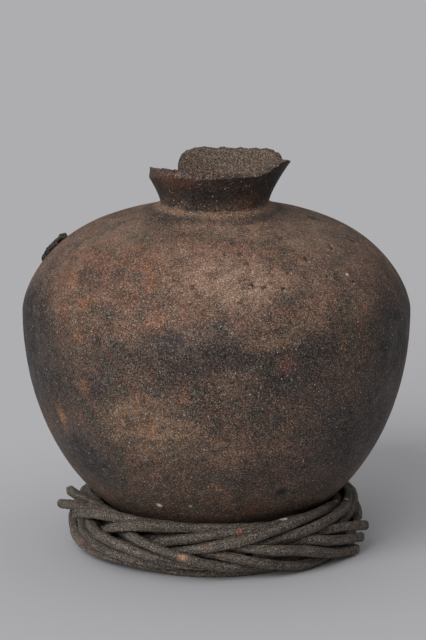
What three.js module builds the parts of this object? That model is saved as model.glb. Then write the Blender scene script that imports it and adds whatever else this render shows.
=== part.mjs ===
// A hand-built earthenware jar with a broken rim, standing in a ring of plaited vines.
// Millimetres, +Z up. The origin is on the ground under the jar's axis, and -Y is the front.
// An azimuth is in degrees about +Z: 0 is +X (right), 90 the back, 180 the left, 270 the front.
import * as THREE from "three";
import { mergeVertices } from "three/addons/utils/BufferGeometryUtils.js";

// Jar: the body is two superellipse arcs that meet at the belly
const groundClearance = 5; // under the jar's round bottom
const bellyRadius = 175;
const bellyHeight = 211.6; // from the jar's lowest point to its widest girth
const shoulderRise = 87.8; // from the widest girth to where the shoulder would close
const lowerFullness = { height: 2.03, radius: 2.12 }; // powers of the lower arc
const shoulderFullness = { height: 1.54, radius: 3.3 }; // powers of the upper arc
const wall = 7;
const lowerRings = 11;
const shoulderRings = 9;
const jarSides = 48;

// Neck: flares out of a swept junction, and its top is an old break
const neckRadius = 48.5;
const neckSweepRise = 9.5; // how far the shoulder is drawn up against the neck
const neckSweepReach = 18;
const neckHeight = 45.3; // from the junction to the highest tip of the break
const rimFlare = 25;
const flarePower = 1.35;
const neckOffset = -1.6; // the neck sits a little to the left
const neckRings = 5;

// The break's height under its highest tip, by azimuth
const breakDrop = [
  [0, 8.2], [12, 10], [22, 9.7], [30, 6.6], [46, 5.3], [64, 7.2], [89, 7.3], [104, 7],
  [112, 8.5], [118, 12], [123, 17.5], [128, 25.2], [140, 23.3], [152, 21.2], [165, 17.2],
  [178, 12.8], [190, 11.2], [203, 9], [215, 6.8], [228, 4.8], [242, 4.8], [256, 5.8],
  [271, 5.8], [285, 6.8], [296, 8.3], [303, 9.8], [309, 9.8], [316, 7.3], [323, 2.8],
  [330, 0], [341, 2.7], [350, 5.8],
];

// How much lower the break's outer edge is chipped than its inner edge, by azimuth
const outerChip = [
  [0, 0], [138, 0.5], [158, 5], [174, 9.5], [198, 10], [215, 8], [235, 6], [262, 6.5],
  [280, 4.5], [292, 2.5], [306, 0.8], [322, 0],
];

// Hardened repair patch on the left shoulder
const patchAzimuth = 160;
const patchSweep = 34.6; // where its middle lies, in degrees up the shoulder's arc from the belly
const patchLength = 32; // down the shoulder
const patchWidth = 30;
const patchThickness = 5;
const patchEdgeShare = 0.5; // its rim's thickness, as a share of its middle's
const patchUnevenness = { broad: 0.09, fine: 0.05 }; // how far its outline wanders
const patchSteps = 10;

// Ring of vines: a bundle that runs round the jar's foot
const vineDiameter = 9.6;
const vineGap = 0.5; // wanted between any two vines
const leastGap = 0.42; // kept where they crowd, by pressing both thinner
const seatGap = 0.3; // kept between the vines and the jar
const bundleRadius = 25;
const bundleSeatShare = 0.45; // how far the bundle stands out from the jar, as a share of its radius
const groundFlat = 0.5; // how deep a vine is pressed flat on the ground
const vineStep = 25; // from one ring of a vine's corners to the next
const vineSides = 8;
const samplesPerStop = 20; // how finely a route is followed before it is cut into steps

// How the vines settle against each other
const settleRounds = 260;
const settlePull = 0.08; // share of the way back to its route that a point goes in a round
const settleEase = 0.25; // share by which its shift follows its neighbours' shifts
const neighbourRounds = 20; // rounds between two searches for vines that lie near each other
const neighbourSlack = 8; // how far vines may move between those searches
const ownStretches = 4; // a vine's stretches nearer than this along it can't touch

const degrees = Math.PI / 180;

// Height and radius of the jar's outer face on its lower arc, for a sweep of 0 to 90 degrees
function lowerPoint(sweep) {
  const radius = bellyRadius * Math.sin(sweep * degrees) ** (2 / lowerFullness.radius);
  const up = 1 - Math.cos(sweep * degrees) ** (2 / lowerFullness.height);
  return { radius, height: groundClearance + bellyHeight * up };
}

function sweepLift(radius) {
  return neckSweepRise * Math.exp(-(radius - neckRadius) / neckSweepReach);
}

// The same on the shoulder: 0 is the belly, and the last sweep reaches the neck
function shoulderPoint(sweep) {
  const radius = bellyRadius * Math.cos(sweep * degrees) ** (2 / shoulderFullness.radius);
  const rise = shoulderRise * Math.sin(sweep * degrees) ** (2 / shoulderFullness.height);
  return { radius, height: groundClearance + bellyHeight + rise + sweepLift(radius) };
}

const lastSweep = Math.acos((neckRadius / bellyRadius) ** (shoulderFullness.radius / 2)) / degrees;
const neckBase = shoulderPoint(lastSweep).height;
const rimTop = neckBase + neckHeight;

function neckRadiusAt(height) {
  const share = Math.max(0, (height - neckBase) / neckHeight);
  return neckRadius + rimFlare * share ** flarePower;
}

// An azimuth brought into 0 to 360
function fullTurn(azimuth) {
  return ((azimuth % 360) + 360) % 360;
}

// Value at an azimuth from a list of [azimuth, value], in straight steps right round the jar
function aroundJar(list, azimuth) {
  const turn = fullTurn(azimuth);
  const next = list.findIndex(([at]) => at > turn);
  const [to, high] = next < 0 ? [list[0][0] + 360, list[0][1]] : list[next];
  const [from, low] = next < 0 ? list.at(-1) : list[next - 1];
  return THREE.MathUtils.lerp(low, high, (turn - from) / (to - from));
}

// The outer face of the jar's body, from the bottom up to the neck
function bodyOutline() {
  const points = [];
  for (let i = 1; i <= lowerRings; i++) points.push(lowerPoint((90 * i) / lowerRings));
  for (let i = 1; i <= shoulderRings; i++) points.push(shoulderPoint((lastSweep * i) / shoulderRings));
  return points;
}

const outline = bodyOutline();

// A wall's thickness inwards from an outline, square to it
function insetOutline(points, depth) {
  return points.map((point, i) => {
    const before = points[i - 1] ?? { radius: 0, height: groundClearance };
    const after = points[i + 1] ?? { radius: point.radius, height: point.height + 1 };
    const run = new THREE.Vector2(after.radius - before.radius, after.height - before.height).normalize();
    return { radius: point.radius - run.y * depth, height: point.height + run.x * depth };
  });
}

function neckShares() {
  return Array.from({ length: neckRings }, (_, i) => (i + 1) / neckRings);
}

// Each point of the lathe's profile says whether it belongs to the body or to a face of the neck
function jarProfile() {
  const outer = outline.map((point) => ({ ...point, side: "body" }));
  const inner = insetOutline(outline, wall).map((point) => ({ ...point, side: "body" }));
  inner.at(-1).radius = neckRadius - wall;
  const rising = neckShares().map((share) => ({ share, side: "outside" }));
  const falling = neckShares().reverse().map((share) => ({ share, side: "inside" }));
  for (const point of [...rising, ...falling]) {
    point.height = neckBase + neckHeight * point.share;
    point.radius = neckRadiusAt(point.height) - (point.side === "inside" ? wall : 0);
  }
  const bottom = { radius: 0, height: groundClearance, side: "body" };
  const floor = { radius: 0, height: groundClearance + wall, side: "body" };
  return [bottom, ...outer, ...rising, ...falling, ...inner.reverse(), floor];
}

function jarGeometry() {
  const profile = jarProfile();
  const lathe = new THREE.LatheGeometry(
    profile.map(({ radius, height }) => new THREE.Vector2(radius, height)),
    jarSides,
  );
  const at = lathe.getAttribute("position");
  for (let i = 0; i < at.count; i++) {
    const point = profile[i % profile.length];
    const turn = (Math.floor(i / profile.length) / jarSides) * 360;
    const azimuth = turn - 90;
    let { radius, height } = point;
    if (point.side !== "body") {
      const chipped = point.side === "outside" ? aroundJar(outerChip, azimuth) : 0;
      const top = rimTop - aroundJar(breakDrop, azimuth) - chipped;
      height = neckBase + (top - neckBase) * point.share;
      radius = neckRadiusAt(height) - (point.side === "inside" ? wall : 0);
    }
    const nearNeck = THREE.MathUtils.smoothstep(height, neckBase - neckSweepReach, neckBase);
    const shift = neckOffset * nearNeck;
    at.setXYZ(i, radius * Math.sin(turn * degrees) + shift, height, radius * Math.cos(turn * degrees));
  }
  lathe.deleteAttribute("normal");
  lathe.deleteAttribute("uv");
  return mergeVertices(lathe, 1e-3).rotateX(90 * degrees);
}

// Closed surface from two faces of one grid, [row][column] of points, joined round their edge
function slabGeometry(lower, upper) {
  const rows = lower.length;
  const columns = lower[0].length;
  const points = [...lower.flat(), ...upper.flat()];
  const offset = rows * columns;
  const at = (row, column) => row * columns + column;
  const faces = [];
  const quad = (a, b, c, d) => faces.push(a, b, c, a, c, d);
  for (let r = 0; r + 1 < rows; r++) {
    for (let c = 0; c + 1 < columns; c++) {
      quad(at(r, c), at(r, c + 1), at(r + 1, c + 1), at(r + 1, c));
      quad(offset + at(r, c), offset + at(r + 1, c), offset + at(r + 1, c + 1), offset + at(r, c + 1));
    }
  }
  const edge = [];
  for (let c = 0; c + 1 < columns; c++) edge.push(at(0, c));
  for (let r = 0; r + 1 < rows; r++) edge.push(at(r, columns - 1));
  for (let c = columns - 1; c > 0; c--) edge.push(at(rows - 1, c));
  for (let r = rows - 1; r > 0; r--) edge.push(at(r, 0));
  edge.forEach((a, i) => {
    const b = edge[(i + 1) % edge.length];
    quad(b, a, offset + a, offset + b);
  });
  return geometryFrom(points, faces);
}

function geometryFrom(points, faces) {
  const geometry = new THREE.BufferGeometry().setFromPoints(points);
  geometry.setIndex(faces);
  return geometry;
}

// Point on the jar's shoulder by distance down it from the patch's middle, raised off the clay
function shoulderAt(distance, azimuth, raised) {
  const here = shoulderPoint(patchSweep);
  const ahead = shoulderPoint(patchSweep - 1);
  const perDegree = Math.hypot(ahead.radius - here.radius, ahead.height - here.height);
  const sweep = patchSweep - distance / perDegree;
  const point = shoulderPoint(sweep);
  const beside = shoulderPoint(sweep - 1);
  const run = new THREE.Vector2(beside.radius - point.radius, beside.height - point.height).normalize();
  const radius = point.radius - run.y * raised;
  const height = point.height + run.x * raised;
  const angle = azimuth * degrees;
  return new THREE.Vector3(radius * Math.cos(angle), radius * Math.sin(angle), height);
}

// A crust with a domed back and an uneven outline
function patchGeometry() {
  const radiusFromAxis = shoulderPoint(patchSweep).radius;
  const faceAt = (raise) =>
    Array.from({ length: patchSteps + 1 }, (_, row) =>
      Array.from({ length: patchSteps + 1 }, (_, column) => {
        const u = (2 * row) / patchSteps - 1;
        const v = (2 * column) / patchSteps - 1;
        // a square grid drawn out to a disc, whose edge wanders
        const x = u * Math.sqrt(1 - (v * v) / 2);
        const y = v * Math.sqrt(1 - (u * u) / 2);
        const around = Math.atan2(y, x);
        const broad = patchUnevenness.broad * Math.sin(3 * around);
        const fine = patchUnevenness.fine * Math.sin(5 * around);
        const uneven = 1 + broad + fine;
        const distance = (x * uneven * patchLength) / 2;
        const sideways = (y * uneven * patchWidth) / 2;
        const dome = Math.sqrt(Math.max(0, 1 - (x * x + y * y) ** 2));
        const azimuth = patchAzimuth + sideways / radiusFromAxis / degrees;
        return shoulderAt(distance, azimuth, seatGap + raise(dome));
      }),
    );
  const lower = faceAt(() => 0);
  const upper = faceAt((dome) => patchThickness * THREE.MathUtils.lerp(patchEdgeShare, 1, dome));
  return slabGeometry(lower, upper);
}

// Each vine's route: [azimuth, way round the bundle, layer]. The way round is 0 outwards, 90 up,
// 180 inwards and -90 down. The layer counts vine thicknesses from the bundle's middle.
// Azimuths run on past 360, so that a vine which goes round twice keeps its order.
const vineRoutes = {
  // four cut ends stand out at the left, and their vines climb over the top to the front
  vine_01: [
    [177, 9, 3], [186, 24, 2.4], [201, 48, 2.1], [216, 66, 2], [229, 84, 2], [243, 104, 1.9],
    [258, 122, 1.8], [275, 136, 1.7], [300, 155, 1.7], [330, 178, 1.8], [360, 200, 1.9],
    [390, 220, 1.9], [430, 234, 1.9], [470, 248, 1.9], [512, 263, 1.9],
  ],
  vine_02: [
    [172, 35, 2.75], [186, 56, 2.2], [203, 80, 2], [217, 100, 1.9], [236, 124, 1.8],
    [258, 150, 1.75], [280, 168, 1.75], [296, 180, 1.75],
  ],
  vine_03: [
    [185, 84, 2.2], [203, 110, 1.9], [225, 143, 1.8], [250, 172, 1.8], [280, 194, 1.8],
    [310, 212, 1.85], [350, 235, 1.9], [390, 252, 2.1], [415, 262, 2.2], [440, 270, 2.25],
    [490, 284, 2.3], [512, 290, 2.3],
  ],
  vine_04: [
    [202, 20, 2.3], [210, 36, 2.15], [219, 47, 2.05], [230, 59, 1.95], [244, 74, 1.9],
    [258, 88, 1.85], [272, 102, 1.75], [290, 122, 1.5], [306, 138, 1.3],
  ],
  // vines that come up from inside the bundle and cross the front towards the right
  vine_05: [
    [203, -10, 0.9], [212, 4, 1.25], [218, 12, 1.7], [225, 18, 2.05], [237, 31, 2.1],
    [248, 45, 2.05], [259, 55, 2], [270, 61, 1.95], [285, 73, 1.9], [300, 90, 1.9],
    [320, 113, 1.8], [345, 140, 1.8], [370, 168, 1.85], [390, 187, 1.9], [430, 202, 1.9],
    [480, 219, 1.9], [524, 234, 1.9],
  ],
  vine_06: [
    [214, -15, 0.9], [228, -5, 1], [238, 5, 1.3], [245, 14, 1.8], [251, 20, 2.05],
    [262, 28, 2.1], [271, 36, 2.05], [281, 45, 2], [292, 58, 2], [305, 75, 1.95],
    [320, 93, 1.9], [345, 118, 1.85], [370, 142, 1.85], [390, 155, 1.9], [430, 170, 1.9],
    [480, 188, 1.9], [530, 205, 1.9],
  ],
  vine_07: [
    [236, -18, 0.9], [248, -8, 1.1], [257, 1, 1.6], [266, 8, 2.05], [275, 15, 2.15],
    [286, 28, 2.15], [298, 45, 2.1], [313, 62, 2], [329, 76, 1.95], [345, 90, 1.9],
    [365, 108, 1.9], [390, 124, 1.9], [430, 138, 1.9], [480, 156, 1.9], [535, 174, 1.9],
  ],
  vine_08: [
    [268, -8, 1.1], [280, 0, 1.5], [291, 11, 1.85], [300, 22, 2], [310, 34, 2], [321, 46, 2],
    [338, 60, 2], [353, 70, 2], [370, 81, 2], [390, 92, 2], [430, 106, 1.95], [480, 124, 1.9],
    [530, 140, 1.85],
  ],
  vine_09: [
    [285, -15, 1.1], [296, -6, 1.5], [305, 2, 1.9], [316, 8, 2.05], [326, 18, 2.1],
    [332, 25, 2.1], [344, 36, 2.2], [356, 40, 2.2], [370, 42, 2.2], [384, 46, 2.15],
    [400, 55, 2.05], [430, 70, 2], [480, 88, 2], [522, 97, 1.9], [540, 92, 1.2],
    [556, 80, 0.9], [572, 62, 0.8], [584, 44, 1], [592, 30, 1.7], [598, 22, 2.2],
    [606, 14, 2.3], [615, 3, 2.25], [624, -9, 2.1], [633, -24, 1.8], [645, -44, 1.6],
    [660, -62, 1.7], [690, -84, 1.85],
  ],
  // vines that come round from the back and go down under the front
  vine_10: [
    [350, 14, 1.95], [368, 18, 1.9], [390, 27, 1.95], [430, 40, 2], [480, 57, 2],
    [522, 66, 1.9], [540, 60, 1.2], [555, 50, 1], [566, 36, 1.05], [576, 20, 1.6],
    [583, 12, 2.2], [588, 8, 2.35], [594, 2, 2.35], [602, -7, 2.35], [612, -20, 2.3],
    [622, -34, 2.25], [632, -50, 2.1], [644, -72, 1.95], [658, -94, 1.9], [676, -110, 1.9],
    [700, -122, 1.9],
  ],
  vine_11: [
    [342, -48, 1.7], [360, -28, 1.9], [390, -8, 2], [430, 7, 2], [480, 24, 2], [522, 36, 1.9],
    [540, 34, 1.3], [552, 28, 1.15], [562, 18, 1.35], [568, 8, 2], [574, 0, 2.35],
    [580, -8, 2.4], [587, -15, 2.35], [595, -23, 2.3], [605, -34, 2.25], [615, -48, 2.2],
    [624, -66, 2], [633, -88, 1.9], [645, -110, 1.9], [662, -124, 1.9], [676, -132, 1.9],
  ],
  vine_12: [
    [338, -75, 1.9], [360, -60, 1.95], [390, -42, 2], [430, -28, 2], [480, -10, 2],
    [515, 0, 2.05], [535, -4, 2.05], [549, -13, 2.05], [557, -26, 2.25], [564, -32, 2.3],
    [574, -36, 2.25], [587, -40, 2.15], [602, -50, 2.1], [620, -61, 2.2], [640, -66, 2.3],
    [658, -66, 2.3], [669, -70, 2.2], [684, -84, 2], [702, -100, 1.9],
  ],
  vine_13: [
    [330, -105, 1.85], [360, -92, 1.9], [390, -76, 1.95], [430, -62, 2], [480, -46, 2],
    [515, -44, 2], [532, -60, 2.1], [550, -80, 2.15], [567, -95, 2.15], [585, -112, 2.1],
    [600, -124, 1.95],
  ],
  // three vines run inside the bundle and end in the open at the right
  vine_14: [
    [10, 60, 0.55], [60, 60, 0.55], [120, 75, 0.55], [180, 40, 0.55], [230, 30, 0.6],
    [255, 15, 0.9], [268, 6, 1.2], [281, 3, 1.9], [293, 4, 2.3], [308, -10, 2.4],
    [321, -30, 2.45], [330, -37, 2.75], [339, -37, 3.15],
  ],
  vine_15: [
    [213, 120, 0.6], [240, 105, 0.7], [270, 60, 0.7], [292, 15, 1.1], [302, 7, 1.6],
    [310, 3, 2.05], [320, -5, 2.35], [331, -14, 2.5], [341, -21, 2.95],
  ],
  vine_16: [
    [226, 215, 0.8], [248, 210, 0.8], [270, 175, 0.7], [294, 80, 0.6], [306, 26, 1.2],
    [318, 14, 1.8], [328, 7, 2.1], [337, -1, 2.35], [346, -11, 2.7],
  ],
  vine_17: [
    [20, 240, 0.55], [60, 240, 0.55], [120, 255, 0.55], [180, 230, 0.55], [215, 260, 0.6],
    [240, 300, 0.8], [255, 335, 1.1], [263, 352, 1.5], [269, 357, 2], [275, 351, 2.25],
    [287, 335, 2.3], [297, 323, 2.25], [306, 313, 2.15], [320, 300, 1.95], [338, 286, 1.9],
    [360, 276, 1.9], [390, 270, 1.85],
  ],
};

const vineRadius = vineDiameter / 2;
const vinePitch = vineDiameter + vineGap;
const lowestVine = vineRadius * Math.cos((180 / vineSides) * degrees) - groundFlat;

function jarRadiusAt(height) {
  const share = (groundClearance + bellyHeight - height) / bellyHeight;
  if (share >= 1) return 0;
  return bellyRadius * (1 - Math.max(0, share) ** lowerFullness.height) ** (1 / lowerFullness.radius);
}

const bundleMiddle = bundleRadius;
const ringRadius = jarRadiusAt(bundleMiddle + bundleRadius / 2) + bundleSeatShare * bundleRadius;

function ringPoint(azimuth, wayRound, layer) {
  const reach = ringRadius + layer * vinePitch * Math.cos(wayRound * degrees);
  const height = bundleMiddle + layer * vinePitch * Math.sin(wayRound * degrees);
  return new THREE.Vector3(reach * Math.cos(azimuth * degrees), reach * Math.sin(azimuth * degrees), height);
}

// A route as points in space, one vineStep apart
function homePoints(route) {
  const chosen = new THREE.CatmullRomCurve3(route.map((stop) => new THREE.Vector3(...stop)));
  const fine = chosen.getPoints(route.length * samplesPerStop).map(({ x, y, z }) => ringPoint(x, y, z));
  const along = [0];
  for (let i = 1; i < fine.length; i++) along.push(along[i - 1] + fine[i].distanceTo(fine[i - 1]));
  const steps = Math.round(along.at(-1) / vineStep);
  return Array.from({ length: steps + 1 }, (_, i) => {
    const wanted = (along.at(-1) * i) / steps;
    const next = Math.max(1, along.findIndex((length) => length >= wanted - 1e-9));
    const share = (wanted - along[next - 1]) / (along[next] - along[next - 1]);
    return fine[next - 1].clone().lerp(fine[next], share);
  });
}

// Nearest places on two straight stretches, as shares along each, and the vector between them
function nearestPlaces(a, b, c, d) {
  const ab = b.clone().sub(a);
  const cd = d.clone().sub(c);
  const ac = a.clone().sub(c);
  const along = ab.dot(cd);
  const abab = ab.lengthSq();
  const cdcd = cd.lengthSq();
  const spread = abab * cdcd - along * along;
  const onAb = spread > 1e-9 ? (along * cd.dot(ac) - cdcd * ab.dot(ac)) / spread : 0;
  let s = THREE.MathUtils.clamp(onAb, 0, 1);
  const t = THREE.MathUtils.clamp((along * s + cd.dot(ac)) / cdcd, 0, 1);
  s = THREE.MathUtils.clamp((along * t - ab.dot(ac)) / abab, 0, 1);
  const apart = ac.addScaledVector(ab, s).addScaledVector(cd, -t);
  return { s, t, apart };
}

// Visits every pair of stretches that could touch
function eachClosePair(vines, visit) {
  const reach = vinePitch + vineStep + neighbourSlack;
  const stretches = vines.flatMap((points, vine) =>
    points.slice(1).map((_, i) => ({ vine, i, middle: points[i].clone().add(points[i + 1]).divideScalar(2) })),
  );
  for (let m = 0; m < stretches.length; m++) {
    for (let n = m + 1; n < stretches.length; n++) {
      const one = stretches[m];
      const two = stretches[n];
      if (one.vine === two.vine && two.i - one.i < ownStretches) continue;
      if (one.middle.distanceToSquared(two.middle) > reach * reach) continue;
      visit(one, two);
    }
  }
}

const footSteps = 45;
const jarFoot = Array.from({ length: footSteps + 1 }, (_, i) => lowerPoint((90 * i) / footSteps));

// Moves a point out of the jar's way, so that a vine round it only just clears the clay
function keepOffJar(point, clearance) {
  const reach = Math.hypot(point.x, point.y);
  let best = null;
  for (let i = 0; i + 1 < jarFoot.length; i++) {
    const run = { x: jarFoot[i + 1].radius - jarFoot[i].radius, y: jarFoot[i + 1].height - jarFoot[i].height };
    const from = { x: reach - jarFoot[i].radius, y: point.z - jarFoot[i].height };
    const share = THREE.MathUtils.clamp(
      (from.x * run.x + from.y * run.y) / (run.x * run.x + run.y * run.y), 0, 1);
    const away = { x: from.x - share * run.x, y: from.y - share * run.y };
    const length = Math.hypot(away.x, away.y);
    if (!best || length < best.length) best = { length, away };
  }
  const inside = reach < jarRadiusAt(point.z);
  const distance = inside ? -best.length : best.length;
  if (distance >= clearance || best.length < 1e-6) return;
  const push = (clearance - distance) / best.length / (inside ? -1 : 1);
  const moved = reach + best.away.x * push;
  point.x *= moved / reach;
  point.y *= moved / reach;
  point.z += best.away.y * push;
}

// Lets the vines settle: each is drawn to its route, eased along its length and pushed clear
// of the others, of the jar and of the ground, until they lie against each other
function settle(homes) {
  const chordSag = vineStep ** 2 / (8 * ringRadius);
  const vines = homes.map((points) => points.map((point) => point.clone()));
  let pairs = [];
  for (let round = 0; round < settleRounds; round++) {
    const left = 1 - round / settleRounds;
    const pull = settlePull * left ** 2;
    const ease = settleEase * left;
    vines.forEach((points, v) => {
      const shifts = points.map((point, i) => point.clone().sub(homes[v][i]));
      points.forEach((point, i) => {
        const near = [shifts[i - 1], shifts[i + 1]].filter(Boolean);
        const mean = near.reduce((sum, shift) => sum.add(shift), new THREE.Vector3()).divideScalar(near.length);
        point.addScaledVector(mean.sub(shifts[i]), ease).addScaledVector(shifts[i], -pull);
      });
    });
    if (round % neighbourRounds === 0) {
      pairs = [];
      eachClosePair(vines, (one, two) => pairs.push([one, two]));
    }
    for (const [one, two] of pairs) {
      const [a, b] = [vines[one.vine][one.i], vines[one.vine][one.i + 1]];
      const [c, d] = [vines[two.vine][two.i], vines[two.vine][two.i + 1]];
      const { s, t, apart } = nearest(vines, one, two);
      const distance = apart.length();
      if (distance >= vinePitch || distance < 1e-6) continue;
      const weight = (1 - s) ** 2 + s ** 2 + (1 - t) ** 2 + t ** 2;
      const push = (vinePitch - distance) / distance / weight;
      a.addScaledVector(apart, push * (1 - s));
      b.addScaledVector(apart, push * s);
      c.addScaledVector(apart, -push * (1 - t));
      d.addScaledVector(apart, -push * t);
    }
    for (const point of vines.flat()) {
      keepOffJar(point, vineRadius + seatGap + chordSag);
      point.z = Math.max(point.z, lowestVine);
    }
  }
  return vines;
}

// Half the room at each point, so that a vine is pressed thinner where others squeeze it
function roomAlong(vines) {
  const rooms = vines.map((points) => points.map(() => vineRadius));
  const least = (vine, i, room) => (rooms[vine][i] = Math.min(rooms[vine][i], room));
  eachClosePair(vines, (one, two) => {
    const room = (nearest(vines, one, two).apart.length() - leastGap) / 2;
    for (const step of [0, 1]) {
      least(one.vine, one.i + step, room);
      least(two.vine, two.i + step, room);
    }
  });
  return rooms;
}

function nearest(vines, one, two) {
  const first = vines[one.vine];
  const second = vines[two.vine];
  return nearestPlaces(first[one.i], first[one.i + 1], second[two.i], second[two.i + 1]);
}

// The least gaps between two vines and from a vine to itself, measured between their skins
function leastGaps(vines, rooms) {
  const gaps = { between: Infinity, toItself: Infinity };
  eachClosePair(vines, (one, two) => {
    const { s, t, apart } = nearest(vines, one, two);
    const skinOne = THREE.MathUtils.lerp(rooms[one.vine][one.i], rooms[one.vine][one.i + 1], s);
    const skinTwo = THREE.MathUtils.lerp(rooms[two.vine][two.i], rooms[two.vine][two.i + 1], t);
    const kind = one.vine === two.vine ? "toItself" : "between";
    gaps[kind] = Math.min(gaps[kind], apart.length() - skinOne - skinTwo);
  });
  return gaps;
}

// A tube of flat-sided rings with closed ends, one flat facing down, pressed flat on the ground
function vineGeometry(points, rooms) {
  const up = new THREE.Vector3(0, 0, 1);
  const rings = [];
  points.forEach((point, i) => {
    const before = points[Math.max(0, i - 1)];
    const after = points[Math.min(points.length - 1, i + 1)];
    const along = after.clone().sub(before).normalize();
    const side = along.clone().cross(up).normalize();
    const over = side.clone().cross(along);
    for (let k = 0; k < vineSides; k++) {
      const angle = ((k + 0.5) / vineSides) * 2 * Math.PI;
      const corner = point.clone();
      corner.addScaledVector(over, rooms[i] * Math.cos(angle));
      corner.addScaledVector(side, rooms[i] * Math.sin(angle));
      rings.push(corner);
    }
  });
  const last = points.length - 1;
  const corners = [...rings, points[0].clone(), points[last].clone()];
  for (const corner of corners) corner.z = Math.max(0, corner.z);
  const faces = [];
  for (let k = 0; k < vineSides; k++) {
    const next = (k + 1) % vineSides;
    for (let i = 0; i < last; i++) {
      const [a, b] = [i * vineSides + k, i * vineSides + next];
      faces.push(a, b, b + vineSides, a, b + vineSides, a + vineSides);
    }
    faces.push(next, k, rings.length);
    faces.push(last * vineSides + k, last * vineSides + next, rings.length + 1);
  }
  return geometryFrom(corners, faces);
}

const object = new THREE.Group();

function add(name, geometry, color, roughness) {
  const mesh = new THREE.Mesh(geometry, new THREE.MeshStandardMaterial({ color, roughness, metalness: 0 }));
  mesh.name = name;
  object.add(mesh);
}

const clayColour = 0x5b4d44;
const pitchColour = 0x2e261d;
const vineColour = 0x504943;

add("jar_body", jarGeometry(), clayColour, 0.8);
add("shoulder_patch", patchGeometry(), pitchColour, 0.6);

const settled = settle(Object.values(vineRoutes).map(homePoints));
const rooms = roomAlong(settled);
Object.keys(vineRoutes).forEach((name, i) => {
  add(name, vineGeometry(settled[i], rooms[i]), vineColour, 0.9);
});
const gaps = leastGaps(settled, rooms);
console.log(`vines: ${vineDiameter} mm thick, at the least ${(2 * Math.min(...rooms.flat())).toFixed(2)} mm`);
console.log(`gap between two ${gaps.between.toFixed(2)} mm, from one to itself ${gaps.toItself.toFixed(2)} mm`);

export default object;
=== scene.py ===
"""A hand-built earthenware jar with a broken rim, in its ring of wound vines, dressed round its CAD."""

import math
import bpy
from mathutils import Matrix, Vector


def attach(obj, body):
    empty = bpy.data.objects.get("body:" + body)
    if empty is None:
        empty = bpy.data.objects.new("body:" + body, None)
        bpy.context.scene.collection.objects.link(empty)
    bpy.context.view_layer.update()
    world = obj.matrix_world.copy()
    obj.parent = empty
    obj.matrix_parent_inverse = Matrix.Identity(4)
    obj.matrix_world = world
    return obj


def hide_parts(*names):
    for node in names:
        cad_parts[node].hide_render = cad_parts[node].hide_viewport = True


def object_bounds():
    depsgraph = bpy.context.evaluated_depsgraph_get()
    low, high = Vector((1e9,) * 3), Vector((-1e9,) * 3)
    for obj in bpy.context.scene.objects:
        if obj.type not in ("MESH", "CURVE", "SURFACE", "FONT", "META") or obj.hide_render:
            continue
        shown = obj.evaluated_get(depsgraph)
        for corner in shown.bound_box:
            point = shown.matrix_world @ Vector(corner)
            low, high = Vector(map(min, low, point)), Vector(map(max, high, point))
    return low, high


bl_info = {
    "name": "Earthenware Jar in a Vine Ring",
    "version": (1, 0, 0),
    "blender": (4, 5, 0),
    "location": "3D View > Sidebar > Jar",
    "description": "Builds a broken-rimmed earthenware jar and the ring of vines it stands in",
    "category": "Object",
}

import bmesh
import bpy
from bpy.props import FloatProperty, FloatVectorProperty, IntProperty, PointerProperty
from mathutils import Vector, noise

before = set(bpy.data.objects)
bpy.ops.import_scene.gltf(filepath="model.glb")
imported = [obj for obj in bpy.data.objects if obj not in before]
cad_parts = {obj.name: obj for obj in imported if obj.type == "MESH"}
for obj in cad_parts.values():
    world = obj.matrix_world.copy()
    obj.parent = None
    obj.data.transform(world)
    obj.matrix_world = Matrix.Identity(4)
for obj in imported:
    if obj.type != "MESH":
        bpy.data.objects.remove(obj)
cad_low, cad_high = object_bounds()

MM = 0.001
MERGE = 0.001 * MM  # corners of a CAD solid that are closer than this are one
VINE_NODES = sorted(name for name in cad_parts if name.startswith("vine_"))


def screen(red, green, blue):
    """A colour written as it looks on a screen, 0 to 255, as the linear one that a shader takes."""
    return tuple((value / 255) ** 2.2 for value in (red, green, blue))


# Sizes and colours a user would change


def length_property(name, description, default):
    return FloatProperty(name=name, description=description, default=default, unit="LENGTH")


def colour_property(name, description, *shade):
    """A colour whose default is written as it looks on a screen."""
    return FloatVectorProperty(name=name, description=description, default=screen(*shade), subtype="COLOR")


class JarSizes(bpy.types.PropertyGroup):
    belly_radius: length_property("Belly Radius", "Half the jar's widest girth", cad_high.x)
    clearance: length_property("Clearance", "Height of the round bottom over the ground", 5 * MM)
    belly_height: length_property("Belly Height", "From the lowest point to the widest girth", 211.6 * MM)
    shoulder_rise: length_property(
        "Shoulder Rise", "From the widest girth to where the shoulder would close", 87.8 * MM
    )
    wall: length_property("Wall", "Thickness of the clay", 7 * MM)
    neck_radius: length_property("Neck Radius", "Outer radius of the neck at its foot", 48.5 * MM)
    neck_height: length_property(
        "Neck Height", "From the neck's foot to the highest tip of the break", 45.3 * MM
    )
    flare: length_property("Flare", "How far the neck opens over its full height", 25 * MM)
    neck_offset: length_property("Neck Offset", "How far the neck sits to the right", -1.6 * MM)
    chip: FloatProperty(
        name="Chip", description="Share of the full chipping along the break's outer edge", default=1
    )
    dent: length_property("Dent", "Depth of the broad hollows left by hand building", 1.1 * MM)
    segments: IntProperty(name="Segments", description="Steps round the jar", default=384)


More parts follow.
